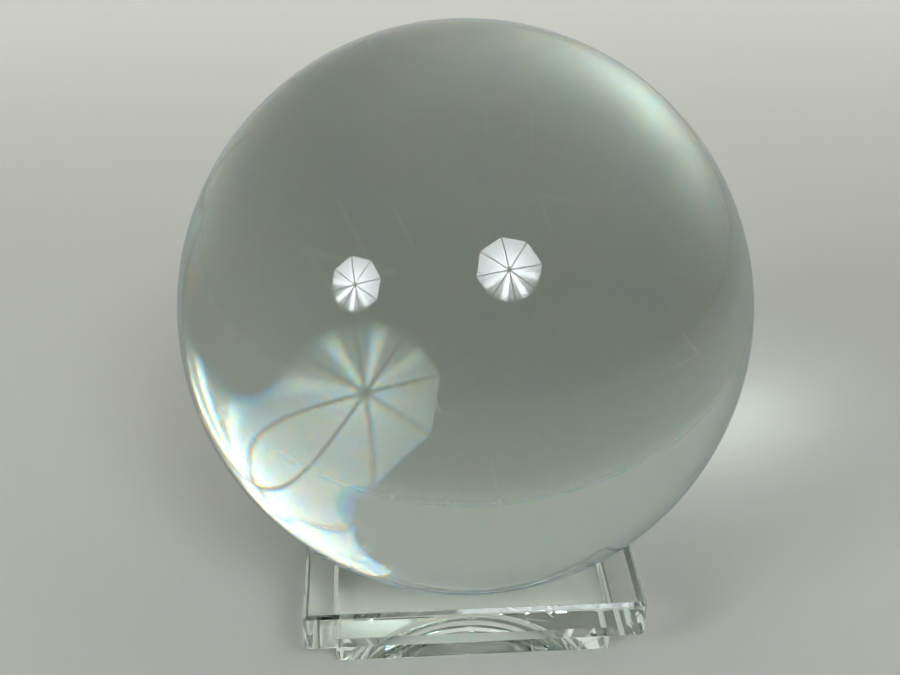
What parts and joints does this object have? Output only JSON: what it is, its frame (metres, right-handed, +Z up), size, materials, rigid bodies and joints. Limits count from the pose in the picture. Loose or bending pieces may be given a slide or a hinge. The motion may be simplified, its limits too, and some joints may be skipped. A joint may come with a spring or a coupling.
{
  "type": "crystal ball",
  "caption": "Solid clear crystal sphere that lifts off a square two-tier clear stand with a round hollow in its top.",
  "frame": {"origin": "middle of the stand's flat underside", "axes": "+Z up along the axis of the ball and of the stand's hollow, -Y out of the stand's front face, +X to the right seen from the front"},
  "size_m": [0.127, 0.127, 0.1379],
  "materials": {
    "lead_crystal": "polished clear crystal, fine handling scratches",
    "clear_acrylic": "polished clear acrylic, chamfered edges with small nicks"
  },
  "bodies": {
    "stand": {"stand_block": "clear_acrylic"},
    "ball": {"crystal_ball": "lead_crystal"}
  },
  "joints": [
    {"name": "ball_lift", "type": "slide", "parent": "stand", "child": "ball", "axis": [0, 0, 1], "range_m": [0, 0.03]}
  ]
}
